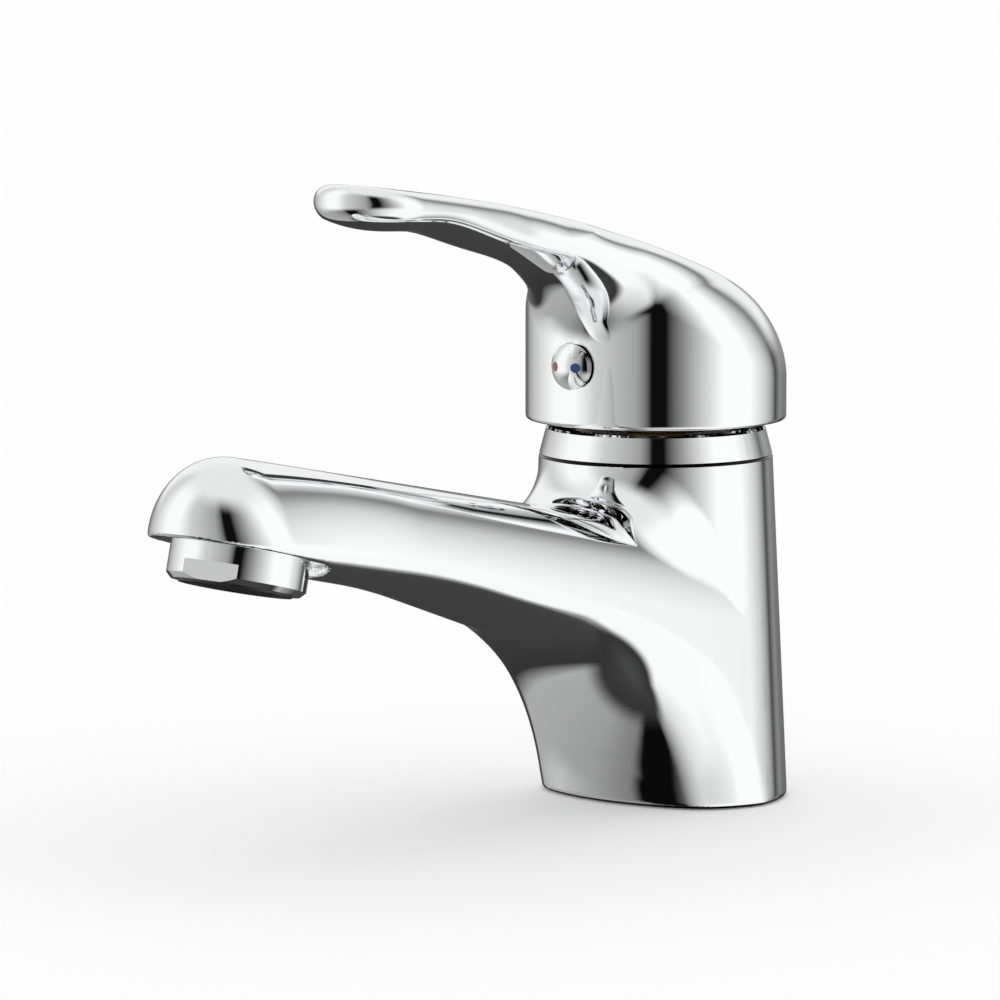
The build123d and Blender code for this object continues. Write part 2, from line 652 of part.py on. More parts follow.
with BuildPart() as aerator_screens:
    for low in (2.0, 3.4):
        about_outlet(CAGE_BORE_R - SNUG, 0, low, low + 0.4)
        pierce(hole_rings(1.7, 5), 0.55, low - 0.2, low + 0.6)
export(aerator_screens, "aerator_screens")
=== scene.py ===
"""Looks of a chrome single-lever basin mixer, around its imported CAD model.

The two freeform castings, body and lever, are signed distance fields turned into smooth meshes.
Every other piece is its CAD node with a procedural material. Lengths inside the shape functions
are millimetres in the row's frame (+Z up, spout towards -Y); meshes end up in metres.
"""
import json
from math import acos, atan2, cos, pi, radians, sin, tan

import bmesh
import bpy
import numpy as np
from mathutils import Matrix, Vector


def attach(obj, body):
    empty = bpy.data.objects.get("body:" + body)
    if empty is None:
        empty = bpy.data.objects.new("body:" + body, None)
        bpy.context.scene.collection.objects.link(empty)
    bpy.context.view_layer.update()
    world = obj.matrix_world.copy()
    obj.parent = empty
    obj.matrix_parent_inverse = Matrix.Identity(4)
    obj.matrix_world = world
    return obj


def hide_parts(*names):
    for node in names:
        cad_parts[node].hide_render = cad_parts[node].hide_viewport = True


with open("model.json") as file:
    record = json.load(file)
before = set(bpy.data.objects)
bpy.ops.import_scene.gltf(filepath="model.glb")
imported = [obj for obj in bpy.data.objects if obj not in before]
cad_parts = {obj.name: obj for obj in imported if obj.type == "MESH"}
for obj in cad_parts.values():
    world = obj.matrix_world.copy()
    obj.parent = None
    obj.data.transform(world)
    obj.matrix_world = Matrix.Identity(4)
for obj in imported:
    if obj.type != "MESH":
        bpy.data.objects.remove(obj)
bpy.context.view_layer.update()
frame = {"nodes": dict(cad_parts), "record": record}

MM = 0.001


# ---- distance field helpers ---------------------------------------------------------------------
def round_max(a, b, radius):
    """Intersection of two fields with a fillet on the edge between them."""
    u = np.maximum(a + radius, 0)
    v = np.maximum(b + radius, 0)
    return np.minimum(np.maximum(a, b), -radius) + np.sqrt(u * u + v * v)


def round_min(a, b, radius):
    """Union of two fields with a concave fillet between them."""
    return -round_max(-a, -b, radius)


def ease(x, low, high):
    """0 below low, 1 above high, smooth between."""
    t = np.clip((x - low) / (high - low), 0, 1)
    return t * t * (3 - 2 * t)


def crowned(x, field, radius):
    """Bend a side-view field across X, so that its surface is a cylinder of the radius."""
    return np.sqrt(x * x + np.maximum(radius + field, 0) ** 2) - radius


def arc_corner(before, corner, after, radius, count):
    """Points of a fillet between two straight runs of a side-view outline."""
    corner = np.array(corner, dtype=float)
    one = np.array(before) - corner
    two = np.array(after) - corner
    one /= np.linalg.norm(one)
    two /= np.linalg.norm(two)
    half = acos(float(np.clip(one @ two, -1, 1))) / 2
    middle = one + two
    centre = corner + middle / np.linalg.norm(middle) * radius / sin(half)
    start = corner + one * radius / tan(half) - centre
    end = corner + two * radius / tan(half) - centre
    first = atan2(start[1], start[0])
    sweep = (atan2(end[1], end[0]) - first + pi) % (2 * pi) - pi
    turns = first + sweep * np.linspace(0, 1, count)
    return centre + radius * np.stack([np.cos(turns), np.sin(turns)], axis=1)


def spline_points(points, count):
    """Dense points of a natural cubic spline through side-view points, even in y."""
    y, z = np.array(points, dtype=float).T
    n = len(y)
    h = np.diff(y)
    system = np.eye(n)
    right = np.zeros(n)
    for i in range(1, n - 1):
        system[i, i - 1 : i + 2] = h[i - 1], 2 * (h[i - 1] + h[i]), h[i]
        right[i] = 6 * ((z[i + 1] - z[i]) / h[i] - (z[i] - z[i - 1]) / h[i - 1])
    m = np.linalg.solve(system, right)
    at = np.linspace(y[0], y[-1], count)
    i = np.clip(np.searchsorted(y, at) - 1, 0, n - 2)
    a, b = y[i + 1] - at, at - y[i]
    out = (m[i] * a**3 + m[i + 1] * b**3) / (6 * h[i]) + (z[i] / h[i] - m[i] * h[i] / 6) * a
    out = out + (z[i + 1] / h[i] - m[i + 1] * h[i] / 6) * b
    return np.stack([at, out], axis=1)


def outline_field(y, z, points):
    """Signed distance to an open side-view outline whose ends run on; positive on its left."""
    y, z = np.broadcast_arrays(np.asarray(y, float), np.asarray(z, float))
    best = np.full(y.shape, np.inf)
    sign = np.ones(y.shape)
    last = len(points) - 2
    for i in range(last + 1):
        start, run = points[i], points[i + 1] - points[i]
        length = np.hypot(*run)
        along = ((y - start[0]) * run[0] + (z - start[1]) * run[1]) / length
        low = -1e9 if i == 0 else 0.0
        high = 1e9 if i == last else length
        across = (z - start[1]) * run[0] / length - (y - start[0]) * run[1] / length
        over = along - np.clip(along, low, high)
        gap = over * over + across * across
        nearer = gap < best - 1e-9
        best = np.where(nearer, gap, best)
        sign = np.where(nearer, np.sign(across), sign)
    return sign * np.sqrt(best)


def above(y, z, outline):
    """Field, about a distance, that is positive above a side-view curve that never turns back."""
    at, height = outline.T
    slope = np.interp(y, at, np.gradient(height, at))
    return (z - np.interp(y, at, height)) / np.sqrt(1 + slope * slope)


def capsule(x, y, far_y, near_r, far_r):
    """Plan field of a circle at the origin, a smaller one at (0, far_y), and their tangents."""
    length = abs(far_y)
    px = np.abs(x)
    py = -y
    b = (near_r - far_r) / length
    a = np.sqrt(1 - b * b)
    k = -px * b + py * a
    side = px * a + py * b - near_r
    far_side = np.where(k > a * length, np.hypot(px, py - length) - far_r, side)
    return np.where(k < 0, np.hypot(px, py) - near_r, far_side)


# ---- smooth meshes from distance fields ---------------------------------------------------------
CORNERS = [(i, j, k) for i in (0, 1) for j in (0, 1) for k in (0, 1)]
EDGES = [
    (a, b)
    for a in range(8)
    for b in range(a + 1, 8)
    if sum(p != q for p, q in zip(CORNERS[a], CORNERS[b])) == 1
]


def slopes(field, points):
    """Field values and gradients at points."""
    eps = 0.01
    value = field(*points.T)
    columns = []
    for axis in range(3):
        shift = np.zeros(3)
        shift[axis] = eps
        columns.append((field(*(points + shift).T) - value) / eps)
    return value, np.stack(columns, axis=1)


def settle(field, points, rounds):
    """Move points onto the field's zero surface."""
    for _ in range(rounds):
        value, gradient = slopes(field, points)
        size = np.maximum((gradient**2).sum(axis=1), 0.05)
        points = points - np.clip(value / size, -0.5, 0.5)[:, None] * gradient
    return points


def surface_net(field, low, high, step):
    """Vertices (n, 3) and quads (m, 4) of the field's zero surface."""
    axes = [np.arange(lo, hi + step, step) for lo, hi in zip(low, high)]
    grid = np.meshgrid(*axes, indexing="ij", sparse=True)
    values = field(*grid)
    counts = np.array(values.shape) - 1
    inside = values < 0
    corner_views = []
    for i, j, k in CORNERS:
        view = (slice(i, i + counts[0]), slice(j, j + counts[1]), slice(k, k + counts[2]))
        corner_views.append(view)
    total = sum(inside[view].astype(np.int8) for view in corner_views)
    crossing = (total > 0) & (total < 8)
    cells = np.argwhere(crossing)
    number = np.full(counts, -1, dtype=np.int64)
    number[crossing] = np.arange(len(cells))
    sums = np.zeros((len(cells), 3))
    hits = np.zeros(len(cells))
    corner_values = [values[view][crossing] for view in corner_views]
    for a, b in EDGES:
        va, vb = corner_values[a], corner_values[b]
        cut = (va < 0) != (vb < 0)
        t = np.where(cut, va / np.where(cut, va - vb, 1), 0)
        start, end = np.array(CORNERS[a]), np.array(CORNERS[b])
        sums += np.where(cut[:, None], start + t[:, None] * (end - start), 0)
        hits += cut
    origin = np.array([axis[0] for axis in axes])
    points = origin + step * (cells + sums / hits[:, None])
    quads = []
    for axis in range(3):
        after = [slice(None)] * 3
        before = [slice(None)] * 3
        after[axis] = slice(1, None)
        before[axis] = slice(None, -1)
        one, two = inside[tuple(before)], inside[tuple(after)]
        flips = np.argwhere(one != two)
        u, v = [(1, 2), (2, 0), (0, 1)][axis]
        keep = (flips[:, u] > 0) & (flips[:, v] > 0) & (flips[:, u] < counts[u]) & (flips[:, v] < counts[v])
        flips = flips[keep]
        ring = []
        for du, dv in ((0, 0), (-1, 0), (-1, -1), (0, -1)):
            cell = flips.copy()
            cell[:, u] += du
            cell[:, v] += dv
            ring.append(number[tuple(cell.T)])
        faces = np.stack(ring, axis=1)
        outward = one[tuple(flips.T)]
        faces[~outward] = faces[~outward][:, ::-1]
        quads.append(faces)
    return points, np.concatenate(quads)


def relax(points, quads):
    """One tangential smoothing pass: each vertex moves to the mean of its neighbours."""
    sums = np.zeros_like(points)
    hits = np.zeros(len(points))
    for a, b in ((0, 1), (1, 2), (2, 3), (3, 0)):
        np.add.at(sums, quads[:, a], points[quads[:, b]])
        np.add.at(sums, quads[:, b], points[quads[:, a]])
        np.add.at(hits, quads[:, a], 1)
        np.add.at(hits, quads[:, b], 1)
    return sums / hits[:, None]


def smooth_surface(field, low, high, step):
    """An even mesh of the field's zero surface."""
    points, quads = surface_net(field, low, high, step)
    points = settle(field, points, 2)
    for _ in range(2):
        points = settle(field, relax(points, quads), 1)
    return settle(field, points, 1), quads


# ---- body ---------------------------------------------------------------------------------------
BASE_R = 26.25
NECK_R = 23.1
NECK_TOP = 68.0
DRAFT = (BASE_R - NECK_R) / NECK_TOP
HEAD_Y = -123.6
HEAD_R = 18.9  # at the deck's level
RIDGE = (-42.0, 61.8)  # a point of the spout's top line (y, z)
RIDGE_RISE = radians(10.9)
RIDGE_CROWN_R = 55.0
SHOULDER_R = 10.0
HEAD_SHOULDER_R = 15.0
NECK_FILLET_R = 12.0
FOOT = (-15.6, 0.0)  # corners of the lowest line, from the foot to beyond the head (y, z)
KEEL_ROOT = (-24.0, 28.8)
KEEL_MIDDLE = (-82.0, 48.5)
KEEL_FAR = (-162.0, 65.5)
KEEL_BEND_R = 50.0
KEEL_EASE_R = 200.0
BELLY_R = 46.0
FRONT_EDGE_R = 8.0  # edges of the column's front
SPOUT_EDGE_R = 2.6  # lower edges of the spout
BASE_EDGE_R = 1.0
OUTLET_Y = -121.9
OUTLET_Z = 59.9
OUTLET_TILT = radians(14.0)
OUTLET_EDGE_R = 0.5
FACE_R = 16.2

underside = np.concatenate(
    [
        [FOOT],
        arc_corner(FOOT, KEEL_ROOT, KEEL_MIDDLE, KEEL_BEND_R, 48),
        arc_corner(KEEL_ROOT, KEEL_MIDDLE, KEEL_FAR, KEEL_EASE_R, 14),
        [KEEL_FAR],
    ]
)


def body_field(x, y, z):
    belly = crowned(x, outline_field(y, z, underside), BELLY_R)
    walls = capsule(x, y, HEAD_Y, BASE_R, HEAD_R) + z * DRAFT
    lower_edge = SPOUT_EDGE_R + (FRONT_EDGE_R - SPOUT_EDGE_R) * ease(-z, -46, -26)
    # spout: crowned ridge with soft shoulders, rounder at the head
    ridge = (y - RIDGE[0]) * sin(RIDGE_RISE) + (z - RIDGE[1]) * cos(RIDGE_RISE)
    spout = round_max(walls, belly, lower_edge)
    shoulder = SHOULDER_R + (HEAD_SHOULDER_R - SHOULDER_R) * ease(-y, 90, 125)
    spout = round_max(spout, crowned(x, ridge, RIDGE_CROWN_R), shoulder)
    # column, with a fillet where the spout's top runs into its neck
    column = np.hypot(x, y) - NECK_R - (NECK_TOP - z) * DRAFT
    column = round_max(np.maximum(column, z - NECK_TOP - 1.5), belly, lower_edge)
    fillet = NECK_FILLET_R * ease(-y, -1, 18) * ease(z, 40, 58)
    shape = round_min(np.maximum(spout, y - 3), column, 0.001 + fillet)
    # outlet face: flat about the aerator and forward of it
    dy = y - OUTLET_Y
    dz = z - OUTLET_Z
    inward = dy * sin(OUTLET_TILT) + dz * cos(OUTLET_TILT)
    forward = dy * cos(OUTLET_TILT) - dz * sin(OUTLET_TILT)
    spot = np.hypot(x, np.maximum(forward, 0)) - FACE_R
    shape = round_max(shape, -np.maximum(inward, spot), OUTLET_EDGE_R)
    return round_max(shape, -z, BASE_EDGE_R)


# ---- lever --------------------------------------------------------------------------------------
HOOD_R = 25.75
RIM_Z = 74.9
RIM_EDGE_R = 0.8
LEVER_CROWN_R = 97.0
HOOD_SHOULDER_R = 14.4
ARM_EDGE_R = 2.9
ARM_FOOT_EDGE_R = 2.0
ARM_HALF_W = 10.4
ARM_TIP_R = 11.8
ARM_TIP_Y = -83.8
ARM_FLARE = 6.5  # the arm widens into the hood
ARM_BELLY_R = 24.0
ARM_ROOT_BELLY_R = 11.5
ARM_ROOT_FILLET = (5.0, 16.0)  # between arm and hood, low down and at the top

# side-view curves of the lever's top and of the arm's lowest line (y, z)
lever_top = spline_points(
    [(-99.0, 126.5), (-75.0, 123.6), (-45.0, 118.7), (-20.0, 112.7), (0.0, 106.0), (27.0, 97.5)],
    900,
)
arm_foot = spline_points(
    [(-99.0, 121.3), (-90.0, 117.6), (-75.0, 116.0), (-55.0, 111.2), (-36.0, 104.7), (-20.0, 92.0)],
    600,
)


def lever_field(x, y, z):
    top = crowned(x, above(y, z, lever_top), LEVER_CROWN_R)
    hood = np.hypot(x, y) - HOOD_R
    # arm: nearly parallel, round at the tip, flared and hollowed at its root
    half = ARM_HALF_W + (ARM_TIP_R - ARM_HALF_W) * ease(-y, 45, 83) + ARM_FLARE * ease(y, -52, -14)
    tip = np.hypot(x, y - ARM_TIP_Y) - ARM_TIP_R
    plan = np.where(y < ARM_TIP_Y, tip, np.abs(x) - half)
    belly_r = ARM_BELLY_R + (ARM_ROOT_BELLY_R - ARM_BELLY_R) * ease(y, -56, -22)
    belly = crowned(x, -above(y, z, arm_foot), belly_r)
    arm = np.maximum(round_max(plan, belly, ARM_FOOT_EDGE_R), y + 4)
    low, high = ARM_ROOT_FILLET
    sides = round_min(hood, arm, low + (high - low) * ease(z, 96, 112))
    shoulder = ARM_EDGE_R + (HOOD_SHOULDER_R - ARM_EDGE_R) * ease(y, -58, -2)
    return round_max(round_max(sides, top, shoulder), RIM_Z - z, RIM_EDGE_R)


# ---- meshes -------------------------------------------------------------------------------------
def lathe(profile, count):
    """Closed solid of revolution about Z from (radius, z) points that start and end on the axis."""
    verts = [(0.0, 0.0, profile[0][1])]
    for radius, z in profile[1:-1]:
        for i in range(count):
            turn = 2 * pi * i / count
            verts.append((radius * cos(turn), radius * sin(turn), z))
    verts.append((0.0, 0.0, profile[-1][1]))
    rows = len(profile) - 2
    last = len(verts) - 1
    faces = []
    for i in range(count):
        j = (i + 1) % count
        faces.append((0, 1 + j, 1 + i))
        faces.append((last, last - count + i, last - count + j))
        for row in range(rows - 1):
            a = 1 + row * count
            faces.append((a + i, a + j, a + count + j, a + count + i))
    return verts, faces


def drill(radius, low, high, x=0.0, y=0.0):
    """A cutter along Z."""
    verts, faces = lathe([(0, low), (radius, low), (radius, high), (0, high)], 64)
    return [(vx + x, vy + y, vz) for vx, vy, vz in verts], faces


def turned(part, matrix):
    verts, faces = part
    return [tuple(matrix @ Vector(v)) for v in verts], faces


def mesh_object(name, parts):
    """One object from several (vertices, faces) parts, in millimetres."""
    verts, faces = [], []
    for part_verts, part_faces in parts:
        base = len(verts)
        verts.extend(part_verts)
        faces.extend(tuple(base + i for i in face) for face in part_faces)
    mesh = bpy.data.meshes.new(name)
    mesh.from_pydata([tuple(float(c) for c in v) for v in verts], [], faces)
    mesh.update()
    obj = bpy.data.objects.new(name, mesh)
    bpy.context.scene.collection.objects.link(obj)
    return obj


def cut(obj, cutters):
    """Cut closed parts out of obj, one boolean after another."""
    for parts in cutters:
        tool = mesh_object("cutter", parts)
        step = obj.modifiers.new("cut", "BOOLEAN")
        step.object = tool
        step.solver = "EXACT"
        graph = bpy.context.evaluated_depsgraph_get()
        result = bpy.data.meshes.new_from_object(obj.evaluated_get(graph))
        obj.modifiers.remove(step)
        obj.data = result
        bpy.data.objects.remove(tool)


SKIN_REACH = 0.03  # a vertex this near the field's surface is on the skin
NORMAL_REACH = 0.35  # half the distance over which the skin's normals are taken


def finish_casting(obj, field):
    """Normals of the skin come from its field, those of machined faces from the faces."""
    mesh = obj.data
    count = len(mesh.vertices)
    points = np.empty(count * 3)
    mesh.vertices.foreach_get("co", points)
    points = points.reshape(-1, 3)
    on_skin = np.abs(field(*points.T)) < SKIN_REACH
    normals = np.zeros((count, 3))
    for axis in range(3):
        shift = np.zeros(3)
        shift[axis] = NORMAL_REACH
        normals[:, axis] = field(*(points + shift).T) - field(*(points - shift).T)
    normals /= np.maximum(np.linalg.norm(normals, axis=1), 1e-9)[:, None]
    corner_vertex = np.empty(len(mesh.loops), dtype=np.int64)
    mesh.loops.foreach_get("vertex_index", corner_vertex)
    starts = np.empty(len(mesh.polygons), dtype=np.int64)
    totals = np.empty(len(mesh.polygons), dtype=np.int64)
    flat = np.empty(len(mesh.polygons) * 3)
    mesh.polygons.foreach_get("loop_start", starts)
    mesh.polygons.foreach_get("loop_total", totals)
    mesh.polygons.foreach_get("normal", flat)
    flat = flat.reshape(-1, 3)
    face = np.repeat(np.arange(len(starts)), totals)
    skin_face = np.minimum.reduceat(on_skin[corner_vertex].astype(np.int8), starts) > 0
    corner = normals[corner_vertex]
    agree = (corner * flat[face]).sum(axis=1) > 0.5
    corner = np.where((skin_face[face] & agree)[:, None], corner, flat[face])
    mesh.shade_smooth()
    mesh.normals_split_custom_set(corner.tolist())
    mesh.transform(Matrix.Scale(MM, 4))
    mesh.update()


def casting(name, field, low, high, step, cutters, extra=()):
    """A field's surface in a box, machined with cutters, with closed parts added inside it."""
    points, quads = smooth_surface(field, low, high, step)
    obj = mesh_object(name, [(points.tolist(), [tuple(q) for q in quads.tolist()])])
    cut(obj, cutters)
    if extra:
        more = mesh_object("more", extra)
        mesh = bmesh.new()
        mesh.from_mesh(obj.data)
        mesh.from_mesh(more.data)
        mesh.to_mesh(obj.data)
        mesh.free()
        bpy.data.objects.remove(more)
    finish_casting(obj, field)
    return obj


# ---- the two castings ---------------------------------------------------------------------------
RECESS_R = 21.23
RECESS_FRONT_Y = -12.73
RECESS_DEPTH = 3.0
RECESS_SIDES = 180
SEAT_Z = 36.0  # foot of the cartridge chamber
CHAMBER_R = 17.7
THREAD_Z = 59.0
THREAD_R = 20.0
SEAM_R = 22.7  # the cover ring's edge, with a small chamfer outside it
SEAM_DEPTH = 0.6
INLET_R = 4.5
INLET_X = 8.5
INLET_Y = 3.0
STUD_R = 3.4
STUD_Y = 13.5
MOUTH_R = 12.03
MOUTH_DEPTH = 8.5
OUTLET_BORE_R = 9.0
OUTLET_BORE_DEPTH = 12.0
CAVITY_R = 24.3
CAVITY_BEND_Z = 87.0
SCREW_Z = 87.0  # axis of the grub screw and the index plug
PLUG_R = 4.8
PLUG_SEAT = 24.5
BOSS_R = 8.5
BOSS_FOOT_Z = 79.0
SCREW_BOSS_R = 6.5


def gasket_recess():
    """Prism of the recess under the base: a circle cut off by the belly's circle."""
    outline = []
    for i in range(RECESS_SIDES):
        turn = 2 * pi * i / RECESS_SIDES
        x, y = RECESS_R * cos(turn), RECESS_R * sin(turn)
        front = RECESS_FRONT_Y + BELLY_R - (BELLY_R * BELLY_R - x * x) ** 0.5
        outline.append((x, max(y, front)))
    verts = [(x, y, -1.0) for x, y in outline] + [(x, y, RECESS_DEPTH) for x, y in outline]
    faces = [tuple(reversed(range(RECESS_SIDES))), tuple(range(RECESS_SIDES, 2 * RECESS_SIDES))]
    for i in range(RECESS_SIDES):
        j = (i + 1) % RECESS_SIDES
        faces.append((i, j, RECESS_SIDES + j, RECESS_SIDES + i))
    return verts, faces


def cartridge_chamber():
    """Stepped bore from the seat up through the column's top, and all that is above the seam."""
    seam = [(THREAD_R, NECK_TOP), (SEAM_R, NECK_TOP), (SEAM_R + SEAM_DEPTH, NECK_TOP - SEAM_DEPTH)]
    bore = [(CHAMBER_R, SEAT_Z), (CHAMBER_R, THREAD_Z), (THREAD_R, THREAD_Z)]
    return lathe([(0, SEAT_Z), *bore, *seam, (30, 74), (0, 74)], 128)


def outlet_mouth():
    """Threaded seat of the aerator and the bore behind it, square to the tilted outlet face."""
    seat = [(0, -4), (MOUTH_R, -4), (MOUTH_R, MOUTH_DEPTH), (OUTLET_BORE_R, MOUTH_DEPTH)]
    bore = [(OUTLET_BORE_R, OUTLET_BORE_DEPTH), (0, OUTLET_BORE_DEPTH)]
    face = Matrix.Translation((0, OUTLET_Y, OUTLET_Z)) @ Matrix.Rotation(-OUTLET_TILT, 4, "X")
    return turned(lathe(seat + bore, 96), face)


holes = [
    cartridge_chamber(),
    outlet_mouth(),
    drill(INLET_R, -1, 15, -INLET_X, INLET_Y),
    drill(INLET_R, -1, 15, INLET_X, INLET_Y),
    drill(STUD_R, -1, 17, 0.0, STUD_Y),
]
body = casting(
    "mixer_body",
    body_field,
    (-27.5, -144, -1.4),
    (27.5, 27.5, 80),
    0.75,
    [[gasket_recess()], holes],
)

along_y = Matrix.Translation((0, 0, SCREW_Z)) @ Matrix.Rotation(radians(90), 4, "X")
cavity = lathe([(0, 70), (CAVITY_R, 70), (CAVITY_R, CAVITY_BEND_Z), (14, 98), (0, 101)], 128)
plug_recess = turned(lathe([(0, PLUG_SEAT), (PLUG_R, PLUG_SEAT), (PLUG_R, 30), (0, 30)], 64), along_y)
boss_foot = [(0, BOSS_FOOT_Z), (BOSS_R - 0.3, BOSS_FOOT_Z), (BOSS_R, BOSS_FOOT_Z + 0.4)]
stem_boss = lathe(boss_foot + [(BOSS_R, 102), (0, 102)], 64)
screw_boss = turned(lathe([(0, 6), (SCREW_BOSS_R, 6), (SCREW_BOSS_R, 24.4), (0, 24.4)], 64), along_y)
lever = casting(
    "lever_skin",
    lever_field,
    (-27.0, -97.5, 73.5),
    (27.0, 27.0, 128),
    0.5,
    [[cavity], [plug_recess]],
    (stem_boss, screw_boss),
)

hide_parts("body")
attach(body, "faucet_body")
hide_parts("lever_handle")
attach(lever, "lever")


# ---- materials ----------------------------------------------------------------------------------
CHROME_COLOR = (0.965, 0.968, 0.972)
# painted shade in the chrome's colour: a painted contact shadow along the foot and painted shade in the
# seam under the cover ring
PAINTED_SHADE_BLACK = (0.004, 0.004, 0.004)
FOOT_CONTACT_SHADOW = (0.0, 0.0006)  # middle and reach in height, metres
RING_SEAM_SHADE = (0.0678, 0.0003)
COLUMN_FRONT_Y = -0.027


class Tree:
    """A material's node tree with the Principled shader and object coordinates in metres."""

    def __init__(self, name, color, metallic, roughness):
        self.material = bpy.data.materials.new(name)
        self.material.use_nodes = True
        self.nodes = self.material.node_tree.nodes
        self.links = self.material.node_tree.links
        self.shader = self.nodes["Principled BSDF"]
        self.shader.inputs["Base Color"].default_value = (*color, 1)
        self.shader.inputs["Metallic"].default_value = metallic
        self.shader.inputs["Roughness"].default_value = roughness
        self.place = self.nodes.new("ShaderNodeTexCoord").outputs["Object"]

    def noise(self, scale, detail=2.0, stretch=None):
        source = self.place
        if stretch:
            mapping = self.nodes.new("ShaderNodeMapping")
            mapping.inputs["Scale"].default_value = stretch
            self.links.new(source, mapping.inputs["Vector"])
            source = mapping.outputs["Vector"]
        node = self.nodes.new("ShaderNodeTexNoise")
        node.inputs["Scale"].default_value = scale
        node.inputs["Detail"].default_value = detail
        self.links.new(source, node.inputs["Vector"])
        return node.outputs["Fac"]

    def spread(self, factor, low, high):
        """Map a 0.3 to 0.7 noise onto low to high."""
        node = self.nodes.new("ShaderNodeMapRange")
        node.inputs["From Min"].default_value = 0.3
        node.inputs["From Max"].default_value = 0.7
        node.inputs["To Min"].default_value = low
        node.inputs["To Max"].default_value = high
        self.links.new(factor, node.inputs["Value"])
        return node.outputs["Result"]

    def rough(self, factor, low, high):
        self.links.new(self.spread(factor, low, high), self.shader.inputs["Roughness"])

    def tint(self, factor, one, two):
        node = self.nodes.new("ShaderNodeMix")
        node.data_type = "RGBA"
        node.inputs[6].default_value = (*one, 1)
        node.inputs[7].default_value = (*two, 1)
        self.links.new(self.spread(factor, 0, 1), node.inputs[0])
        self.links.new(node.outputs[2], self.shader.inputs["Base Color"])

    def math(self, operation, *values):
        node = self.nodes.new("ShaderNodeMath")
        node.operation = operation
        for socket, value in zip(node.inputs, values):
            if isinstance(value, (int, float)):
                socket.default_value = value
            else:
                self.links.new(value, socket)
        return node.outputs["Value"]

    def painted_shade_lines(self, *bands):
        """Painted shade: black on the column where the height is within reach of a band's middle."""
        split = self.nodes.new("ShaderNodeSeparateXYZ")
        self.links.new(self.place, split.inputs["Vector"])
        near = [self.math("COMPARE", split.outputs["Z"], middle, reach) for middle, reach in bands]
        on_column = self.math("GREATER_THAN", split.outputs["Y"], COLUMN_FRONT_Y)
        mix = self.nodes.new("ShaderNodeMix")
        mix.data_type = "RGBA"
        mix.inputs[6].default_value = (*CHROME_COLOR, 1)
        mix.inputs[7].default_value = (*PAINTED_SHADE_BLACK, 1)
        self.links.new(self.math("MULTIPLY", self.math("MAXIMUM", *near), on_column), mix.inputs[0])
        self.links.new(mix.outputs[2], self.shader.inputs["Base Color"])

    def bump(self, factor, height):
        """Relief of a height in metres."""
        node = self.nodes.new("ShaderNodeBump")
        node.inputs["Strength"].default_value = 1.0
        node.inputs["Distance"].default_value = height
        self.links.new(factor, node.inputs["Height"])
        self.links.new(node.outputs["Normal"], self.shader.inputs["Normal"])


def chrome(name):
    tree = Tree(name, CHROME_COLOR, 1.0, 0.04)
    tree.rough(tree.noise(90, 4), 0.02, 0.055)
    tree.bump(tree.noise(160, 1), 1.2e-6)
    return tree


def chrome_painted_shade():
    """Chrome with black painted shade: a painted contact shadow at the foot and painted shade in the seam
    under the cover ring.
    """
    tree = chrome("chrome_painted_shade")
    tree.painted_shade_lines(FOOT_CONTACT_SHADOW, RING_SEAM_SHADE)
    return tree.material


def brass():
    tree = Tree("brass", (0.4, 0.28, 0.12), 1.0, 0.28)
    tree.tint(tree.noise(120, 3), (0.43, 0.3, 0.13), (0.37, 0.25, 0.1))
    tree.rough(tree.noise(60, 3, (1, 1, 60)), 0.22, 0.38)
    tree.bump(tree.noise(80, 2, (1, 1, 50)), 8e-6)
    return tree.material


def steel():
    tree = Tree("steel", (0.6, 0.6, 0.61), 1.0, 0.25)
    tree.rough(tree.noise(200, 3, (20, 1, 1)), 0.18, 0.34)
    tree.bump(tree.noise(300, 2, (12, 1, 1)), 3e-6)
    return tree.material


def ceramic():
    tree = Tree("ceramic", (0.84, 0.82, 0.77), 0.0, 0.12)
    tree.tint(tree.noise(700, 4), (0.86, 0.84, 0.8), (0.8, 0.78, 0.73))
    tree.rough(tree.noise(400, 3), 0.08, 0.18)
    return tree.material


def moulded(name, dark, light, roughness):
    """Moulded plastic or rubber with a fine grain."""
    tree = Tree(name, light, 0.0, roughness)
    tree.tint(tree.noise(150, 3), dark, light)
    tree.rough(tree.noise(900, 2), roughness - 0.08, roughness + 0.08)
    tree.bump(tree.noise(2500, 2), 1e-5)
    return tree.material


def enamel(name, color):
    tree = Tree(name, color, 0.0, 0.2)
    tree.tint(tree.noise(1200, 2), color, tuple(c * 0.8 for c in color))
    tree.shader.inputs["Coat Weight"].default_value = 0.6
    tree.shader.inputs["Coat Roughness"].default_value = 0.05
    return tree.material


finishes = {
    "chrome": chrome("chrome").material,
    "brass": brass(),
    "steel": steel(),
    "ceramic": ceramic(),
    "cartridge_plastic": moulded("cartridge_plastic", (0.022, 0.024, 0.03), (0.03, 0.032, 0.038), 0.42),
    "rotor_plastic": moulded("rotor_plastic", (0.68, 0.68, 0.64), (0.75, 0.75, 0.71), 0.38),
    "aerator_plastic": moulded("aerator_plastic", (0.012, 0.012, 0.013), (0.02, 0.02, 0.021), 0.3),
    "seal_rubber": moulded("seal_rubber", (0.008, 0.008, 0.008), (0.014, 0.014, 0.014), 0.6),
    "hot_enamel": enamel("hot_enamel", (0.30, 0.035, 0.06)),
    "cold_enamel": enamel("cold_enamel", (0.025, 0.04, 0.20)),
}


def paint(obj, material):
    obj.data.materials.clear()
    obj.data.materials.append(material)


slots = {row["node"]: row["material_slot"] for row in frame["record"]["subparts"]}
for name, node in frame["nodes"].items():
    paint(node, finishes[slots[name]])
paint(body, chrome_painted_shade())
paint(lever, finishes["chrome"])


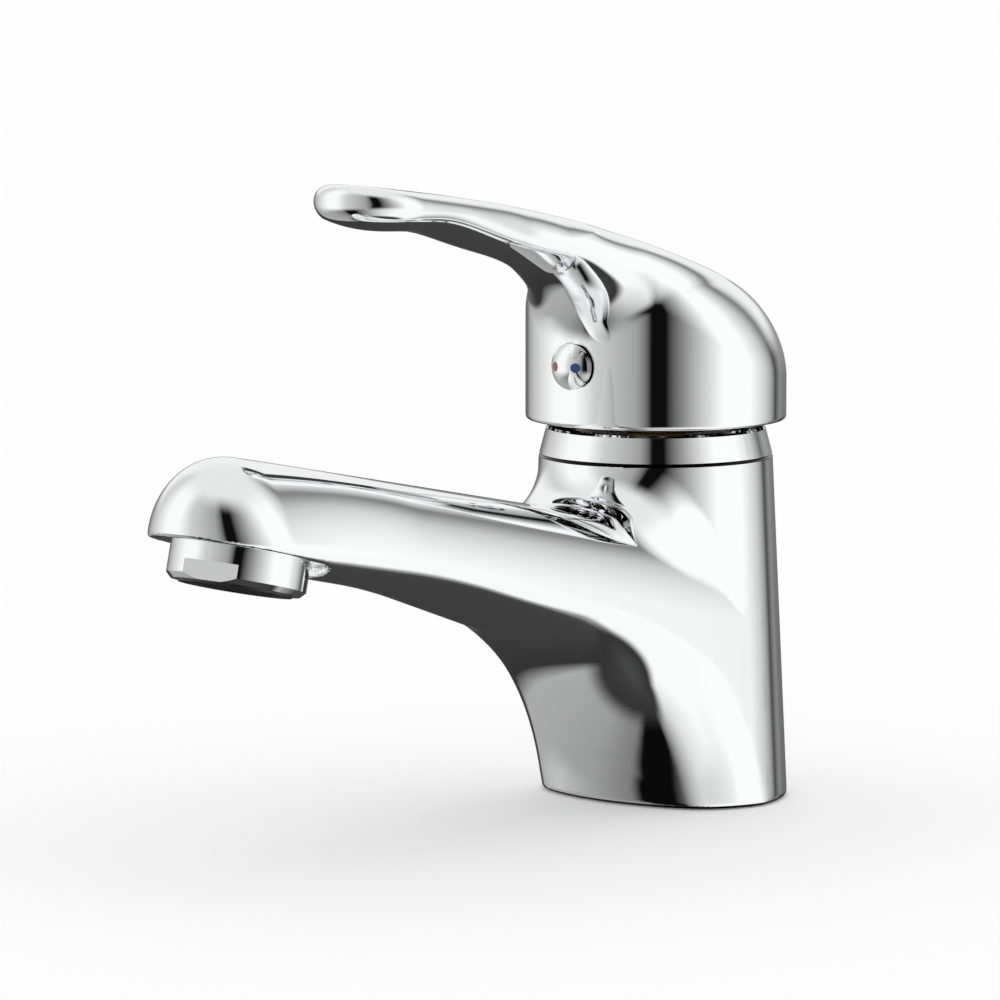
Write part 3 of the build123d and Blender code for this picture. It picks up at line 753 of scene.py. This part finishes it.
# ---- camera -------------------------------------------------------------------------------------
AZIMUTH = radians(38.5)
DISTANCE = 1.25
HEIGHT = 0.20493
YAW = radians(-1.41)
PITCH = radians(6.68)
toward = Vector((sin(AZIMUTH), -cos(AZIMUTH), 0))
aside = Vector((cos(AZIMUTH), sin(AZIMUTH), 0))
level = -toward * cos(YAW) + aside * sin(YAW)
look = level * cos(PITCH) - Vector((0, 0, sin(PITCH)))
lens = bpy.data.cameras.new("camera")
lens.lens = 229.05
lens.sensor_width = 36.0
camera = bpy.data.objects.new("camera", lens)
camera.location = toward * DISTANCE + Vector((0, 0, HEIGHT))
camera.rotation_euler = look.to_track_quat("-Z", "Y").to_euler()
bpy.context.scene.collection.objects.link(camera)
bpy.context.scene.camera = camera


# ---- studio -------------------------------------------------------------------------------------
scene = bpy.context.scene
scene.view_settings.view_transform = "Standard"
world = bpy.data.worlds.new("studio")
scene.world = world
world.use_nodes = True
nodes, links = world.node_tree.nodes, world.node_tree.links
nodes.clear()


def math_node(operation, *values):
    node = nodes.new("ShaderNodeMath")
    node.operation = operation
    for socket, value in zip(node.inputs, values):
        if isinstance(value, (int, float)):
            socket.default_value = value
        else:
            links.new(value, socket)
    return node.outputs[0]


def along(direction):
    node = nodes.new("ShaderNodeVectorMath")
    node.operation = "DOT_PRODUCT"
    node.inputs[1].default_value = direction
    links.new(view, node.inputs[0])
    return node.outputs["Value"]


def ramp(factor, stops):
    """Grey levels, as seen on screen, along a 0 to 1 factor."""
    node = nodes.new("ShaderNodeValToRGB")
    points = node.color_ramp.elements
    points.remove(points[1])
    for i, (at, shade) in enumerate(stops):
        point = points[0] if i == 0 else points.new(at)
        point.position = at
        point.color = grey(shade**2.2)
    links.new(factor, node.inputs["Fac"])
    return node.outputs["Color"]


def grey(level):
    return (level, level, level, 1)


def blend(factor, one, two):
    node = nodes.new("ShaderNodeMix")
    node.data_type = "RGBA"
    for socket, value in ((node.inputs[0], factor), (node.inputs[6], one), (node.inputs[7], two)):
        if isinstance(value, tuple):
            socket.default_value = value
        else:
            links.new(value, socket)
    return node.outputs[2]


def rises(value, low, high):
    """0 below low, 1 above high."""
    node = nodes.new("ShaderNodeMapRange")
    node.interpolation_type = "SMOOTHSTEP"
    node.inputs["From Min"].default_value = low
    node.inputs["From Max"].default_value = high
    links.new(value, node.inputs["Value"])
    return node.outputs["Result"]


view = nodes.new("ShaderNodeTexCoord").outputs["Generated"]
bearing = math_node("ARCTAN2", along(tuple(aside)), along(tuple(toward)))
bearing = math_node("MULTIPLY_ADD", bearing, 0.5 / pi, 0.5)
climb = math_node("MULTIPLY", math_node("ARCSINE", along((0, 0, 1))), 180 / pi)


def bearings(stops):
    """Stops given in degrees to the right of the camera, as seen from the faucet."""
    return [((degrees + 180) / 360, shade) for degrees, shade in stops]


# level with the faucet: a lit wall on either side, a narrow dark screen beside the camera and
# another at the far right, and a grey backdrop
round_about = ramp(
    bearing,
    bearings(
        [
            (-180, 0.5),
            (-160, 0.52),
            (-100, 0.97),
            (-75, 0.97),
            (-55, 0.79),
            (-17, 0.62),
            (-9, 0.44),
            (-4, 0.08),
            (9, 0.08),
            (26, 0.56),
            (62, 0.98),
            (92, 0.98),
            (114, 0.78),
            (124, 0.6),
            (131, 0.28),
            (145, 0.58),
            (180, 0.58),
        ]
    ),
)
# below it: a dark table behind, a grey one at the left with a black gap, a white one at the right
below = ramp(
    bearing,
    bearings(
        [
            (-180, 0.25),
            (-156, 0.21),
            (-147, 0.66),
            (-95, 0.6),
            (-68, 0.48),
            (-61, 0.07),
            (-40, 0.07),
            (-30, 0.42),
            (15, 0.85),
            (45, 0.97),
            (112, 0.97),
            (128, 0.6),
            (150, 0.28),
            (180, 0.25),
        ]
    ),
)
# behind the faucet it is light from a little above the horizon
behind = rises(math_node("ABSOLUTE", math_node("SUBTRACT", bearing, 0.5)), 0.34, 0.42)
lit = math_node("MULTIPLY", behind, rises(climb, 1, 12))
room = blend(lit, round_about, grey(0.85))
room = blend(rises(climb, 35, 65), room, grey(0.78))
deep = blend(rises(climb, -88, -64), grey(0.06), grey(0.03))
under = blend(rises(climb, -70, -60), deep, below)
# and the dark part of the room reaches up almost to the horizon
lowered = math_node("MULTIPLY_ADD", behind, -17, climb)
room = blend(rises(lowered, -34, -12), under, room)
rays = nodes.new("ShaderNodeLightPath")
room = blend(rays.outputs["Is Diffuse Ray"], room, grey(0.9))
room = blend(rays.outputs["Is Camera Ray"], room, grey(0.98))
background = nodes.new("ShaderNodeBackground")
links.new(room, background.inputs["Color"])
background.inputs["Strength"].default_value = 1.05
links.new(background.outputs["Background"], nodes.new("ShaderNodeOutputWorld").inputs["Surface"])

FLOOR_HALF = 6.0
FLOOR_DROP = 0.0002
low, high = -FLOOR_HALF, FLOOR_HALF
floor_mesh = bpy.data.meshes.new("floor")
floor_mesh.from_pydata(
    [(low, low, 0), (high, low, 0), (high, high, 0), (low, high, 0)],
    [],
    [(0, 1, 2, 3)],
)
floor = bpy.data.objects.new("floor", floor_mesh)
floor.location.z = -FLOOR_DROP
floor.visible_glossy = False
scene.collection.objects.link(floor)
floor_tree = Tree("floor", (0.9, 0.9, 0.9), 0.0, 0.9)
floor_tree.shader.inputs["Emission Color"].default_value = (1, 1, 1, 1)
floor_tree.shader.inputs["Emission Strength"].default_value = 0.17
floor_tree.shader.inputs["Specular IOR Level"].default_value = 0.0
floor_mesh.materials.append(floor_tree.material)
